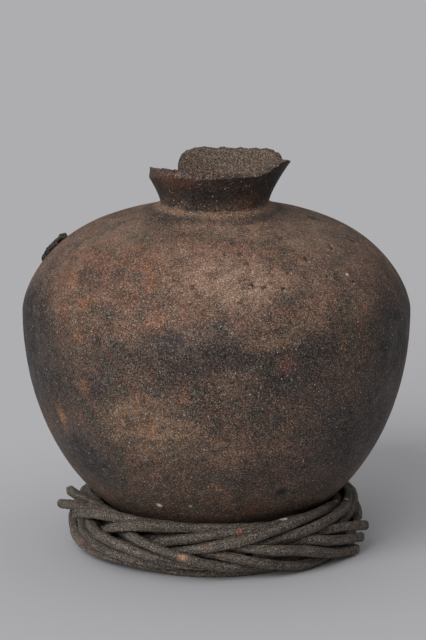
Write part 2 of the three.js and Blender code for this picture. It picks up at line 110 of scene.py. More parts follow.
class JarColours(bpy.types.PropertyGroup):
    clay: colour_property("Clay", "The fired clay below the belly", 86, 73, 64)
    shoulder: colour_property("Shoulder", "The fired clay above the belly", 120, 97, 82)
    # Soot also stands for painted shade: under the neck's foot, and on the jar's right side, which is
    # turned from the key lamp
    soot_and_shade: colour_property("Soot", "Smoked and blackened clay", 47, 45, 46)
    smoke: colour_property("Smoke", "The burnished dark neck", 50, 45, 43)
    olive: colour_property("Olive", "Greenish grey clouds in the clay", 68, 66, 59)
    # Slate also paints the shade at the bottom of each pit
    slate_and_pit_shade: colour_property("Slate", "Pits, dark inclusions and the darkest of the neck", 36, 36, 39)
    red: colour_property("Red", "Clay that fired red", 128, 88, 70)
    ember: colour_property("Ember", "Small spots that fired orange", 150, 106, 78)
    # Blush also paints a highlight: the key lamp's soft reflection on the front of the shoulder
    blush_and_highlight: colour_property("Blush", "Pale rosy clay", 150, 122, 104)
    tan: colour_property("Tan", "Worn clay and dust", 142, 116, 94)
    lining: colour_property("Lining", "The clay inside the jar and its neck", 100, 86, 74)
    grit: colour_property("Grit", "Pale grit in the clay", 222, 208, 188)
    chalk: colour_property("Chalk", "White specks of lime", 235, 230, 222)
    pitch: colour_property("Pitch", "The hardened patch", 30, 27, 24)
    brown_pitch: colour_property("Brown Pitch", "Brown blotches in the patch", 66, 57, 48)


class VineLook(bpy.types.PropertyGroup):
    step: length_property("Step", "From ring to ring along a vine", 2.4 * MM)
    sides: IntProperty(name="Sides", description="Corners round a vine", default=20)
    ridge: length_property("Ridge", "Depth of the furrows along the bark", 0.8 * MM)
    lump: length_property("Lump", "How much a vine swells and thins", 0.5 * MM)
    bark: colour_property("Bark", "Dry bark", 108, 97, 87)
    furrow: colour_property("Furrow", "Furrows and dark blotches in the bark", 66, 58, 52)
    dust: colour_property("Dust", "Pale dust on the bark", 140, 128, 115)
    speck: colour_property("Speck", "Pale specks on the bark", 180, 168, 150)


class StageLook(bpy.types.PropertyGroup):
    floor: colour_property("Floor", "The plain ground and the light from all round", 196, 196, 199)
    floor_reach: length_property("Floor Reach", "Radius of the ground", 40)
    distance: length_property("Distance", "From the camera to the jar's axis", 3.5)
    elevation: FloatProperty(
        name="Elevation", description="How far the camera looks down", default=math.radians(13.5),
        subtype="ANGLE",
    )
    aim_height: length_property("Aim Height", "Where the camera looks on the axis", 204.7 * MM)
    aim_side: length_property("Aim Side", "How far to the right of the axis it looks", -3 * MM)
    lens: FloatProperty(
        name="Lens", description="Focal length in millimetres on a 36 mm long side", default=219.15
    )
    key: FloatProperty(name="Key", description="Strength of the lamp at the upper left", default=1.9)
    top: FloatProperty(name="Top", description="Strength of the broad lamp overhead", default=1.25)
    sky: FloatProperty(name="Sky", description="Strength of the light from all round", default=0.1)


# The jar's outline, as two superellipse arcs that meet at the belly, and the neck

LOWER_FULLNESS = (2.03, 2.12)  # powers of height and radius
SHOULDER_FULLNESS = (1.54, 3.3)
NECK_SWEEP_RISE = 9.5 * MM  # how far the shoulder is drawn up against the neck
NECK_SWEEP_REACH = 18 * MM
FLARE_POWER = 1.35

# How many millimetres lower the break's outer edge is chipped than its inner one, by azimuth
OUTER_CHIP = (
    (0, 0), (138, 0.5), (158, 5), (174, 9.5), (198, 10), (215, 8), (235, 6), (262, 6.5),
    (280, 4.5), (292, 2.5), (306, 0.8), (322, 0),
)

# Millimetres that the break lies under its highest tip, by azimuth: 0 is right, 90 back, 180 left
BREAK_DROP = (
    (0, 8.2), (12, 10), (22, 9.7), (30, 6.6), (46, 5.3), (64, 7.2), (89, 7.3), (104, 7),
    (112, 8.5), (118, 12), (123, 17.5), (128, 25.2), (140, 23.3), (152, 21.2), (165, 17.2),
    (178, 12.8), (190, 11.2), (203, 9), (215, 6.8), (228, 4.8), (242, 4.8), (256, 5.8),
    (271, 5.8), (285, 6.8), (296, 8.3), (303, 9.8), (309, 9.8), (316, 7.3), (323, 2.8),
    (330, 0), (341, 2.7), (350, 5.8),
)

# Small pits and chips in the shoulder: azimuth, height over the ground, radius and depth in millimetres
PITS = (
    (358, 300, 3.4, 2.2), (306, 298, 4.2, 2.6), (274, 290.5, 3, 2.2), (280.5, 290.8, 3.2, 2.2),
    (282.5, 284.5, 3.4, 2.4), (309, 283, 4, 2.4), (283, 269, 3, 2), (286.5, 267.6, 3.2, 2),
    (293.3, 265.4, 3.4, 2.2), (327, 286.3, 4.6, 2.6), (347, 284.2, 5.4, 2.8), (196, 299.6, 4.5, 2),
    (246, 258, 2.2, 1.6), (224, 284, 2.2, 1.4), (235, 283, 2, 1.3), (312, 270, 2.4, 1.7),
    (301, 289, 2.4, 1.6), (322, 262, 2.6, 1.8), (297, 276, 2, 1.5), (262, 270, 1.8, 1.3), (24, 288, 3, 2),
    (69, 281, 3.4, 2.2), (118, 291, 2.6, 1.8), (102, 264, 2.2, 1.5), (139, 272, 2.8, 1.9),
)
PIT_REACH = 2.2  # how many of its radii a pit's surroundings are made finer
PIT_LIMIT = 2.5  # how many of its radii away a pit may still press the face in


def smooth_step(value, low, high):
    share = min(1, max(0, (value - low) / (high - low)))
    return share * share * (3 - 2 * share)


def lower_point(sizes, sweep):
    """Radius and height on the jar's lower arc, for a sweep of 0 to a quarter turn."""
    radius = sizes.belly_radius * math.sin(sweep) ** (2 / LOWER_FULLNESS[1])
    up = 1 - max(0, math.cos(sweep)) ** (2 / LOWER_FULLNESS[0])
    return radius, sizes.clearance + sizes.belly_height * up


def shoulder_point(sizes, sweep):
    """Radius and height on the shoulder: 0 is the belly, and neck_sweep is the neck's foot."""
    radius = sizes.belly_radius * math.cos(sweep) ** (2 / SHOULDER_FULLNESS[1])
    rise = sizes.shoulder_rise * math.sin(sweep) ** (2 / SHOULDER_FULLNESS[0])
    lift = NECK_SWEEP_RISE * math.exp(-(radius - sizes.neck_radius) / NECK_SWEEP_REACH)
    return radius, sizes.clearance + sizes.belly_height + rise + lift


def neck_sweep(sizes):
    """The sweep of the shoulder's arc at which the neck's foot stands."""
    return math.acos((sizes.neck_radius / sizes.belly_radius) ** (SHOULDER_FULLNESS[1] / 2))


def neck_base(sizes):
    return shoulder_point(sizes, neck_sweep(sizes))[1]


def neck_radius_at(sizes, height):
    share = max(0, (height - neck_base(sizes)) / sizes.neck_height)
    return sizes.neck_radius + sizes.flare * share**FLARE_POWER


def around_jar(stops, azimuth):
    """The value at an azimuth from a list of azimuths and millimetres that runs right round the jar."""
    turn = azimuth % 360
    after = next((i for i, (at, _) in enumerate(stops) if at > turn), len(stops))
    start, low = stops[after - 1]
    end, high = stops[after] if after < len(stops) else (stops[0][0] + 360, stops[0][1])
    return (low + (high - low) * (turn - start) / (end - start)) * MM


def on_shoulder(sizes, azimuth, height):
    """The point of the jar's outer face at an azimuth in degrees and a height in metres."""
    low, high = 0.0, math.pi / 2
    upper = height > sizes.clearance + sizes.belly_height
    point_at = shoulder_point if upper else lower_point
    if upper:
        high = neck_sweep(sizes)
    for _ in range(40):
        middle = (low + high) / 2
        if point_at(sizes, middle)[1] < height:
            low = middle
        else:
            high = middle
    radius = point_at(sizes, low)[0]
    angle = math.radians(azimuth)
    return Vector((radius * math.cos(angle), radius * math.sin(angle), height))


def pit_places(sizes):
    """The middle, radius and depth of each pit, in metres."""
    return [(on_shoulder(sizes, azimuth, height * MM), radius * MM, depth * MM)
            for azimuth, height, radius, depth in PITS]


# Which face of the jar a row of its profile belongs to
OUTSIDE, NECK_OUTSIDE, BREAK, NECK_INSIDE, INSIDE = range(5)

LOWER_ROWS = 76
SHOULDER_ROWS = 54
NECK_ROWS = 18
BREAK_ROWS = 5
INNER_ROWS = 44


def outline_points(sizes, lower_rows, shoulder_rows):
    """Points of the outer face from the bottom, which it leaves out, to the neck's foot."""
    lower = [lower_point(sizes, math.pi / 2 * i / lower_rows) for i in range(1, lower_rows + 1)]
    last = neck_sweep(sizes)
    return lower + [shoulder_point(sizes, last * i / shoulder_rows) for i in range(1, shoulder_rows + 1)]


def inset_points(points, depth, start_height):
    """A line inside an outline, a wall's thickness from it and square to it."""
    made = []
    for i, (radius, height) in enumerate(points):
        before = Vector(points[i - 1]) if i else Vector((0, start_height))
        after = Vector(points[i + 1]) if i + 1 < len(points) else Vector((radius, height + MM))
        run = (after - before).normalized()
        made.append((radius - run.y * depth, height + run.x * depth))
    return made


def neck_row(sizes, across, face, share):
    """A row of the neck before it is broken: across is 0 on its outer face and 1 on its inner one."""
    up = 1 if face == BREAK else share
    height = neck_base(sizes) + sizes.neck_height * up
    return neck_radius_at(sizes, height) - sizes.wall * across, height, face, share


def jar_profile(sizes):
    """Rows of (radius, height, face, share of the way up the neck or across the break)."""
    outer = outline_points(sizes, LOWER_ROWS, SHOULDER_ROWS)
    coarse = outline_points(sizes, INNER_ROWS // 2, INNER_ROWS // 2)
    inner = inset_points(coarse, sizes.wall, sizes.clearance)
    rows = [(0, sizes.clearance, OUTSIDE, 0)]
    rows += [(radius, height, OUTSIDE, 0) for radius, height in outer]
    rows += [neck_row(sizes, 0, NECK_OUTSIDE, i / NECK_ROWS) for i in range(1, NECK_ROWS + 1)]
    rows += [neck_row(sizes, i / BREAK_ROWS, BREAK, i / BREAK_ROWS) for i in range(1, BREAK_ROWS)]
    rows += [neck_row(sizes, 1, NECK_INSIDE, 1 - i / NECK_ROWS) for i in range(NECK_ROWS)]
    rows += [(radius, height, INSIDE, 0) for radius, height in reversed(inner)]
    rows.append((0, sizes.clearance + sizes.wall, INSIDE, 0))
    return rows


def ragged(azimuth, wave, seed):
    """Noise round the rim, the same after a full turn."""
    angle = math.radians(azimuth)
    return noise.noise(Vector((math.cos(angle) * wave, math.sin(angle) * wave, seed)))


def shape_neck(sizes, azimuth, face, share):
    """Radius and height of a point of the neck, whose top is the old break."""
    base = neck_base(sizes)
    top = base + sizes.neck_height - around_jar(BREAK_DROP, azimuth)
    top -= MM * (1.1 * abs(ragged(azimuth, 5, 1.5)) + 1.1 * abs(ragged(azimuth, 17, 4.5)))
    outer_top = top - sizes.chip * around_jar(OUTER_CHIP, azimuth)
    outer_top -= MM * (1.5 * abs(ragged(azimuth, 9, 8.5)) + 1.1 * abs(ragged(azimuth, 26, 5.5)))
    inner_top = top - MM * (0.8 * abs(ragged(azimuth, 15, 12.5)) + 0.6 * abs(ragged(azimuth, 31, 2.5)))
    if face == NECK_OUTSIDE:
        height = base + (outer_top - base) * share
        return neck_radius_at(sizes, height), height
    if face == NECK_INSIDE:
        height = base + (inner_top - base) * share
        return neck_radius_at(sizes, height) - sizes.wall, height
    outer = Vector((neck_radius_at(sizes, outer_top), outer_top))
    inner = Vector((neck_radius_at(sizes, inner_top) - sizes.wall, inner_top))
    point = outer.lerp(inner, share)
    middle = math.sin(math.pi * share)
    swell = 0.7 + 1.3 * ragged(azimuth, 11, 20 + 2 * share)
    swell += 1.2 * ragged(azimuth, 34, 20 + 6 * share)
    bulge = middle * MM * swell
    return point.x - 0.5 * bulge, min(point.y + bulge, top)


def hand_marks(sizes, point):
    """How far hand building left the outer face under its true round, in metres."""
    broad = noise.noise(point * 11 + Vector((3, 7, 1)))
    middle = noise.noise(point * 33 + Vector((5, 2, 9)))
    stroke = noise.noise(Vector((point.x * 40, point.y * 40, point.z * 150)))
    fine = noise.noise(point * 210)
    slight = 0.22 * (1 + middle) + 0.1 * (1 + stroke) + 0.05 * (1 + fine)
    return sizes.dent * (0.5 + 0.5 * broad) + MM * slight


def finished(name, bm, body, material, replaced):
    """Writes a bmesh to a new object that rides on a body and stands for its CAD nodes."""
    mesh = bpy.data.meshes.new(name)
    bm.to_mesh(mesh)
    bm.free()
    mesh.materials.append(material)
    mesh.shade_smooth()
    piece = bpy.data.objects.new(name, mesh)
    bpy.context.scene.collection.objects.link(piece)
    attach(piece, body)
    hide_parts(*replaced)
    return piece


# Materials


def add_node(tree, kind, inputs=None, **settings):
    """Adds a node to a tree, with its settings, and with values or links for its sockets."""
    made = tree.nodes.new(kind)
    for name, value in settings.items():
        setattr(made, name, value)
    for key, value in (inputs or {}).items():
        if isinstance(value, bpy.types.NodeSocket):
            tree.links.new(value, made.inputs[key])
        else:
            made.inputs[key].default_value = value
    return made


def add_math(tree, operation, first, second=0.5, third=0.5):
    return add_node(tree, "ShaderNodeMath", {0: first, 1: second, 2: third}, operation=operation).outputs[0]


def add_vector_math(tree, operation, first, second):
    return add_node(tree, "ShaderNodeVectorMath", {0: first, 1: second}, operation=operation).outputs[0]


def add_range(tree, value, low, high, to_low=0.0, to_high=1.0):
    """A value eased from one range into another and held at its ends."""
    inputs = {"Value": value, "From Min": low, "From Max": high, "To Min": to_low, "To Max": to_high}
    made = add_node(tree, "ShaderNodeMapRange", inputs, interpolation_type="SMOOTHSTEP")
    return made.outputs["Result"]


def add_mix(tree, share, first, second):
    """Mixes two colours, each of them a link or three values."""
    first, second = (colour if isinstance(colour, bpy.types.NodeSocket) else (*colour, 1)
                     for colour in (first, second))
    return add_node(tree, "ShaderNodeMix", {0: share, 6: first, 7: second}, data_type="RGBA").outputs[2]


def add_coat(tree, colour, over, mask, strength):
    """Lays a colour over another one where a mask is, at a strength."""
    return add_mix(tree, add_math(tree, "MULTIPLY", mask, strength), colour, over)


def add_attribute(tree, name, output="Fac"):
    return add_node(tree, "ShaderNodeAttribute", attribute_name=name).outputs[output]


def new_group(name, inputs, values, colours=()):
    """A shader node group with named sockets: its tree, its inputs' sockets and its output node.

    An input's default says its kind: one number, three for a vector or four for a colour.
    """
    tree = bpy.data.node_groups.new(name, "ShaderNodeTree")
    for socket, default in inputs.items():
        kind = "Float" if isinstance(default, float) else {3: "Vector", 4: "Color"}[len(default)]
        made = tree.interface.new_socket(name=socket, in_out="INPUT", socket_type="NodeSocket" + kind)
        made.default_value = default
    for socket in values:
        tree.interface.new_socket(name=socket, in_out="OUTPUT", socket_type="NodeSocketFloat")
    for socket in colours:
        tree.interface.new_socket(name=socket, in_out="OUTPUT", socket_type="NodeSocketColor")
    return tree, tree.nodes.new("NodeGroupInput").outputs, tree.nodes.new("NodeGroupOutput")


def use_group(tree, name, inputs):
    """Adds a group that is already built, and gives its outputs."""
    return add_node(tree, "ShaderNodeGroup", inputs, node_tree=bpy.data.node_groups[name]).outputs


def build_mottle():
    """Cloudy patches of one size, from 0 to 1."""
    inputs = {"Vector": (0, 0, 0), "Size": 0.05, "Softness": 0.2, "Detail": 3.0}
    tree, given, result = new_group("mottle", inputs, ["Value"])
    scale = add_math(tree, "DIVIDE", 1.0, given["Size"])
    wave = {"Vector": given["Vector"], "Scale": scale, "Detail": given["Detail"], "Roughness": 0.6}
    cloud = add_node(tree, "ShaderNodeTexNoise", wave)
    low = add_math(tree, "SUBTRACT", 0.5, given["Softness"])
    high = add_math(tree, "ADD", 0.5, given["Softness"])
    tree.links.new(add_range(tree, cloud.outputs["Fac"], low, high), result.inputs["Value"])


def build_grit():
    """Scattered grains: only some cells of a pattern hold one, each of its own size and tone."""
    inputs = {"Vector": (0, 0, 0), "Size": 0.002, "Share": 0.3}
    tree, given, result = new_group("grit", inputs, ["Mask", "Tone"])
    scale = add_math(tree, "DIVIDE", 1.0, given["Size"])
    cells = add_node(tree, "ShaderNodeTexVoronoi", {"Vector": given["Vector"], "Scale": scale})
    parts = add_node(tree, "ShaderNodeSeparateColor", {"Color": cells.outputs["Color"]})
    held = add_math(tree, "LESS_THAN", parts.outputs["Red"], given["Share"])
    reach = add_range(tree, parts.outputs["Green"], 0.0, 1.0, 0.16, 0.42)
    edge = add_math(tree, "MULTIPLY", reach, 0.5)
    grain = add_range(tree, cells.outputs["Distance"], reach, edge)
    tree.links.new(add_math(tree, "MULTIPLY", grain, held), result.inputs["Mask"])
    tree.links.new(parts.outputs["Blue"], result.inputs["Tone"])


def build_grain():
    """Fine grain on a colour. Each cell has a tone from 0 to 1, and one in ten is a bright speck.

    The colour goes up and down by even steps as a screen shows it, so that its tint stays.
    """
    inputs = {"Vector": (0, 0, 0), "Size": 0.001, "Color": (0, 0, 0, 1), "Contrast": 1.0}
    tree, given, result = new_group("grain", inputs, ["Tone"], ["Color"])
    scale = add_math(tree, "DIVIDE", 1.0, given["Size"])
    cells = add_node(tree, "ShaderNodeTexVoronoi", {"Vector": given["Vector"], "Scale": scale})
    tone = add_node(tree, "ShaderNodeSeparateColor", {"Color": cells.outputs["Color"]}).outputs["Red"]
    tree.links.new(tone, result.inputs["Tone"])
    even = add_math(tree, "MULTIPLY_ADD", tone, 0.35, -0.195)
    bright = add_range(tree, tone, 0.9, 1.0, 0.0, 0.12)
    step = add_math(tree, "MULTIPLY", add_math(tree, "ADD", even, bright), given["Contrast"])
    seen = add_node(tree, "ShaderNodeGamma", {"Color": given["Color"], "Gamma": 1 / 2.2}).outputs[0]
    stepped = add_vector_math(tree, "MAXIMUM", add_vector_math(tree, "ADD", seen, step), (0.0, 0.0, 0.0))
    back = add_node(tree, "ShaderNodeGamma", {"Color": stepped, "Gamma": 2.2}).outputs[0]
    tree.links.new(back, result.inputs["Color"])


def build_zone():
    """A soft-edged patch round a place on the surface. A swing given from outside bends its outline."""
    inputs = {"Vector": (0, 0, 0), "Swing": (0, 0, 0), "Centre": (0, 0, 0), "Reach": (0.05, 0.05, 0.05),
              "Wander": 0.03}
    tree, given, result = new_group("zone", inputs, ["Mask"])
    scaled = add_node(tree, "ShaderNodeVectorMath", {0: given["Swing"], "Scale": given["Wander"]},
                      operation="SCALE")
    moved = add_vector_math(tree, "ADD", given["Vector"], scaled.outputs[0])
    away = add_vector_math(tree, "SUBTRACT", moved, given["Centre"])
    shares = add_vector_math(tree, "DIVIDE", away, given["Reach"])
    length = add_node(tree, "ShaderNodeVectorMath", {0: shares}, operation="LENGTH").outputs["Value"]
    tree.links.new(add_range(tree, length, 1.0, 0.15), result.inputs["Mask"])


def new_material(name):
    """A material with one principled shader: itself, its tree and the shader."""
    material = bpy.data.materials.new(name)
    material.use_nodes = True
    tree = material.node_tree
    tree.nodes.clear()
    shader = tree.nodes.new("ShaderNodeBsdfPrincipled")
    output = tree.nodes.new("ShaderNodeOutputMaterial")
    tree.links.new(shader.outputs["BSDF"], output.inputs["Surface"])
    return material, tree, shader


def connect(tree, shader, colour, roughness, relief, strength, depth):
    """Gives a shader its colour, its roughness and its bumps, whose depth is in millimetres."""
    inputs = {"Height": relief, "Strength": strength, "Distance": depth * MM}
    bump = add_node(tree, "ShaderNodeBump", inputs)
    tree.links.new(colour, shader.inputs["Base Color"])
    tree.links.new(roughness, shader.inputs["Roughness"])
    tree.links.new(bump.outputs["Normal"], shader.inputs["Normal"])


def add_mottle(tree, vector, size, softness, detail=3.0):
    """Cloudy patches of a size in millimetres, from 0 to 1."""
    inputs = {"Vector": vector, "Size": size * MM, "Softness": softness, "Detail": detail}
    return use_group(tree, "mottle", inputs)["Value"]


def add_waves(tree, place, scale, detail, roughness=0.5):
    """Noise from 0 to 1, and the same as a swing to all sides that bends the outlines of zones."""
    inputs = {"Vector": place, "Scale": scale, "Detail": detail, "Roughness": roughness}
    waves = add_node(tree, "ShaderNodeTexNoise", inputs).outputs
    return waves["Fac"], add_vector_math(tree, "SUBTRACT", waves["Color"], (0.5, 0.5, 0.5))


def add_band(tree, height, start, full, fading, end):
    """A mask that grows from the first height to the second and fades from the third to the fourth."""
    grown = add_range(tree, height, start, full)
    return add_math(tree, "MULTIPLY", grown, add_range(tree, height, end, fading))


GRIT_SIZE = 1.8 * MM  # cells that hold the pale grit
GRAIN_SIZE = 0.7 * MM  # cells of the finest grain

# Patches of colour on the body, in the order they are painted. After a colour's name each patch has its
# azimuth, its height, half width, half height and its outline's wandering in millimetres, and its strength
CLAY_ZONES = (
    ("red", (218, 272, 75, 38, 50, 0.55), (245, 284, 60, 28, 45, 0.5), (274, 283, 80, 34, 50, 0.75),
     (250, 250, 80, 30, 45, 0.4)),
    ("tan", (208, 297, 70, 14, 30, 0.35), (322, 294, 80, 20, 40, 0.4)),
    # The first blush patch, at azimuth 276, is a painted highlight: the key lamp's soft reflection on the
    # burnished shoulder
    ("blush_and_highlight", (276, 272, 75, 30, 40, 0.95), (262, 288, 60, 18, 30, 0.5), (290, 305, 60, 12, 20, 0.7),
     (262, 305, 40, 8, 20, 0.5)),
    # Most soot patches are smoked clay. The two just under the neck's foot, at azimuths 224 and 318, are
    # partly smoke and partly painted shade under the neck. The big ones on the right side, at azimuths 322
    # and 338, are partly painted shade on the side turned from the key lamp
    ("soot_and_shade", (224, 306, 30, 9, 20, 0.5), (318, 308, 30, 9, 20, 0.5), (219, 267, 17, 12, 20, 0.65),
     (255, 286, 17, 10, 20, 0.4), (233, 272, 13, 9, 16, 0.5), (196, 232, 62, 36, 30, 0.85),
     (194, 180, 75, 80, 40, 1.0), (266, 212, 105, 34, 60, 0.75), (214, 172, 52, 42, 40, 0.7),
     (206, 214, 45, 28, 30, 0.6), (338, 205, 95, 85, 50, 0.85), (322, 125, 95, 80, 60, 0.8),
     (300, 212, 50, 24, 40, 0.6), (234, 178, 36, 22, 34, 0.7), (290, 188, 62, 34, 50, 0.7),
     (278, 100, 60, 26, 40, 0.5), (220, 104, 66, 46, 50, 1.0)),
    ("tan", (250, 148, 62, 50, 60, 0.7), (272, 122, 40, 30, 40, 0.3), (277, 189, 28, 22, 34, 0.35),
     (285, 224, 28, 12, 24, 0.45)),
    ("red", (290, 204, 16, 11, 20, 0.5)),
    ("ember", (211, 276, 14, 13, 16, 0.3), (214, 260, 16, 15, 18, 0.35), (225, 248, 18, 13, 20, 0.4),
     (216, 237, 16, 11, 18, 0.4), (245, 277, 15, 11, 18, 0.45), (248, 266, 13, 9, 16, 0.35),
     (226, 217, 14, 15, 18, 0.5), (252, 243, 13, 10, 16, 0.35), (309.5, 216, 5, 15, 8, 0.7),
     (321, 241, 5, 9, 8, 0.6), (213.5, 136, 9, 24, 14, 0.75), (226.5, 176, 15, 12, 18, 0.45),
     (249, 145, 14, 11, 18, 0.6), (248, 172, 13, 9, 16, 0.5), (260, 174, 13, 9, 16, 0.4),
     (269, 88, 10, 7, 12, 0.5)),
    ("red", (60, 272, 80, 30, 50, 0.6), (140, 282, 65, 28, 45, 0.6)),
    ("blush_and_highlight", (100, 284, 60, 22, 30, 0.5)),
    ("soot_and_shade", (95, 214, 105, 36, 60, 0.8), (40, 122, 75, 50, 60, 0.8), (150, 112, 62, 50, 50, 0.9)),
    ("tan", (108, 150, 60, 46, 60, 0.6)),
    ("ember", (104, 258, 15, 12, 18, 0.6), (72, 244, 14, 11, 18, 0.5), (121, 168, 14, 12, 18, 0.5),
     (146, 246, 16, 12, 18, 0.5)),
)

# Patches on the neck, painted over its burnish and written the same way
NECK_ZONES = (
    ("red", (230, 343, 36, 15, 18, 0.6)),
    ("tan", (236, 349, 30, 7, 12, 0.3)),
    ("slate_and_pit_shade", (266, 334, 24, 12, 14, 0.6)),
    ("red", (302, 324, 22, 9, 12, 0.35), (80, 330, 36, 12, 18, 0.4)),
    ("slate_and_pit_shade", (150, 332, 30, 12, 16, 0.5)),
)

# Dark inclusions, three short dark dashes and specks of lime, written the same way
INCLUSIONS = (
    ("slate_and_pit_shade", (294.8, 78.6, 11, 8, 5, 1), (358, 300, 6, 4, 3, 0.95), (237.5, 257, 3, 1.3, 1, 0.9),
     (239, 258, 3, 1.3, 1, 0.9), (240.8, 260, 3, 1.3, 1, 0.9)),
    ("chalk", (80, 70, 3, 3, 4, 1), (246, 63.6, 4, 4, 5, 1), (259.5, 65.9, 3, 3, 4, 1),
     (321, 268, 2.6, 2.6, 4, 0.9)),
)


def add_zones(tree, zones, colour, place, swing, worn):
    """Paints zones over a colour, each at its strength times a share that says where it has worn off."""
    sizes = bpy.context.scene.jar_sizes
    for name, *patches in zones:
        over = getattr(bpy.context.scene.jar_colours, name)
        for azimuth, up, width, rise, wander, strength in patches:
            inputs = {"Vector": place, "Swing": swing, "Centre": on_shoulder(sizes, azimuth, up * MM),
                      "Reach": (width * MM, width * MM, rise * MM), "Wander": wander * MM}
            mask = add_math(tree, "MULTIPLY", use_group(tree, "zone", inputs)["Mask"], strength)
            colour = add_coat(tree, colour, over, mask, worn)
    return colour


def body_colour(tree, place, height, sway, swing, blotchy, spotty):
    """The clay's colour: lighter over the belly, clouded, and with patches that have partly worn off, a few
    of them painted highlight and painted shade.
    """
    colours = bpy.context.scene.jar_colours
    shifted = add_vector_math(tree, "ADD", place, (3.0, 7.0, 5.0))
    rusty = add_mottle(tree, shifted, 13, 0.12)
    greyed = add_mottle(tree, shifted, 24, 0.12)
    swayed = add_math(tree, "MULTIPLY_ADD", sway, 60 * MM, add_math(tree, "SUBTRACT", height, 30 * MM))
    upper = add_range(tree, swayed, 212 * MM, 250 * MM)
    colour = add_mix(tree, upper, colours.clay, colours.shoulder)
    colour = add_coat(tree, colour, colours.soot_and_shade, blotchy, 0.42)
    colour = add_coat(tree, colour, colours.tan, spotty, 0.25)
    colour = add_coat(tree, colour, colours.olive, greyed, 0.6)
    colour = add_coat(tree, colour, colours.red, rusty, 0.3)
    worn = add_range(tree, add_math(tree, "ADD", spotty, rusty), 0.2, 1.5, 0.3, 1.1)
    return add_zones(tree, CLAY_ZONES, colour, place, swing, worn)


def neck_colour(tree, colour, place, height, swing, on_neck, lower_neck, blotchy):
    """Adds painted shade in the groove at the neck's foot, a pale seam there, and the neck's burnish, worn
    at its foot.
    """
    colours = bpy.context.scene.jar_colours
    base = neck_base(bpy.context.scene.jar_sizes)
    # Painted shade in the hollow under the neck, laid on in the soot colour
    groove_shade = add_band(tree, height, base - 9 * MM, base - 6 * MM, base - 5 * MM, base - 3.5 * MM)
    colour = add_coat(tree, colour, colours.soot_and_shade, groove_shade, 0.4)
    seam = add_band(tree, height, base - 4 * MM, base - 2 * MM, base - MM, base + MM)
    colour = add_coat(tree, colour, colours.tan, seam, 0.6)
    uneven = add_math(tree, "MULTIPLY_ADD", blotchy, 0.15, 0.8)
    burnished = add_math(tree, "MULTIPLY_ADD", lower_neck, -0.5, uneven)
    colour = add_coat(tree, colour, colours.smoke, on_neck, burnished)
    return add_zones(tree, NECK_ZONES, colour, place, swing, on_neck)


def clay_material():
    """Low-fired clay: red, tan and smoked patches, pale grit, and a burnish that has partly worn off, with
    painted shade in the pits and the neck's groove and a painted highlight on the shoulder.
    """
    colours = bpy.context.scene.jar_colours
    base = neck_base(bpy.context.scene.jar_sizes)
    material, tree, shader = new_material("fired_clay")
    place = add_node(tree, "ShaderNodeTexCoord").outputs["Object"]
    height = add_node(tree, "ShaderNodeSeparateXYZ", {0: place}).outputs["Z"]
    face = add_attribute(tree, "jar_face")
    on_neck = add_math(tree, "COMPARE", face, float(NECK_OUTSIDE), 0.4)
    lower_neck = add_math(tree, "MULTIPLY", on_neck, add_range(tree, height, base + 14 * MM, base))
    broken = add_math(tree, "COMPARE", face, float(BREAK), 0.6)
    inside = add_math(tree, "GREATER_THAN", face, BREAK + 0.6)

    sway, swing = add_waves(tree, place, 30.0, 6.0, 0.65)
    blotchy = add_mottle(tree, place, 18, 0.1)
    spotty = add_mottle(tree, place, 8, 0.16)
    colour = body_colour(tree, place, height, sway, swing, blotchy, spotty)
    colour = neck_colour(tree, colour, place, height, swing, on_neck, lower_neck, blotchy)
    scarred = add_coat(tree, colours.soot_and_shade, colours.red, spotty, 0.35)
    colour = add_coat(tree, colour, scarred, broken, 0.6)
    colour = add_coat(tree, colour, colours.lining, inside, 0.8)

    # The neck is smoother than the body, but worn and gritty at its foot
    foot = add_math(tree, "MULTIPLY_ADD", lower_neck, 0.35, 1.0)
    contrast = add_math(tree, "MULTIPLY_ADD", on_neck, -0.35, foot)
    grain = use_group(tree, "grain",
                      {"Vector": place, "Size": GRAIN_SIZE, "Color": colour, "Contrast": contrast})
    gritty = add_math(tree, "MULTIPLY_ADD", on_neck, 0.15, 0.06)
    share = add_math(tree, "MULTIPLY_ADD", lower_neck, 0.35, gritty)
    grit = use_group(tree, "grit", {"Vector": place, "Size": GRIT_SIZE, "Share": share})
    pale = add_range(tree, grit["Tone"], 0.1, 0.9, 0.05, 1.0)
    colour = add_coat(tree, grain["Color"], colours.grit, grit["Mask"], pale)
    colour = add_zones(tree, INCLUSIONS, colour, place, swing, 1.0)
    # Painted shade in each pit
    colour = add_coat(tree, colour, colours.slate_and_pit_shade, add_attribute(tree, "pit"), 0.7)
    # Each pit's pale lower lip: partly clay bared by the chip, partly a painted highlight where its lower
    # wall faces the light
    colour = add_coat(tree, colour, colours.grit, add_attribute(tree, "chipped"), 0.5)

    burnish = add_range(tree, add_mottle(tree, place, 30, 0.3), 0.0, 1.0, 0.42, 0.62)
    roughness = add_math(tree, "MULTIPLY_ADD", grain["Tone"], 0.2, burnish)
    shader.inputs["Specular IOR Level"].default_value = 0.3
    relief = add_math(tree, "MULTIPLY_ADD", grit["Mask"], 0.4, grain["Tone"])
    rough = add_math(tree, "ADD", add_math(tree, "MULTIPLY", broken, 1.6),
                     add_math(tree, "MULTIPLY", inside, 0.8))
    relief = add_math(tree, "MULTIPLY", relief, add_math(tree, "ADD", rough, 1.0))
    connect(tree, shader, colour, roughness, relief, 0.6, 0.5)
    return material


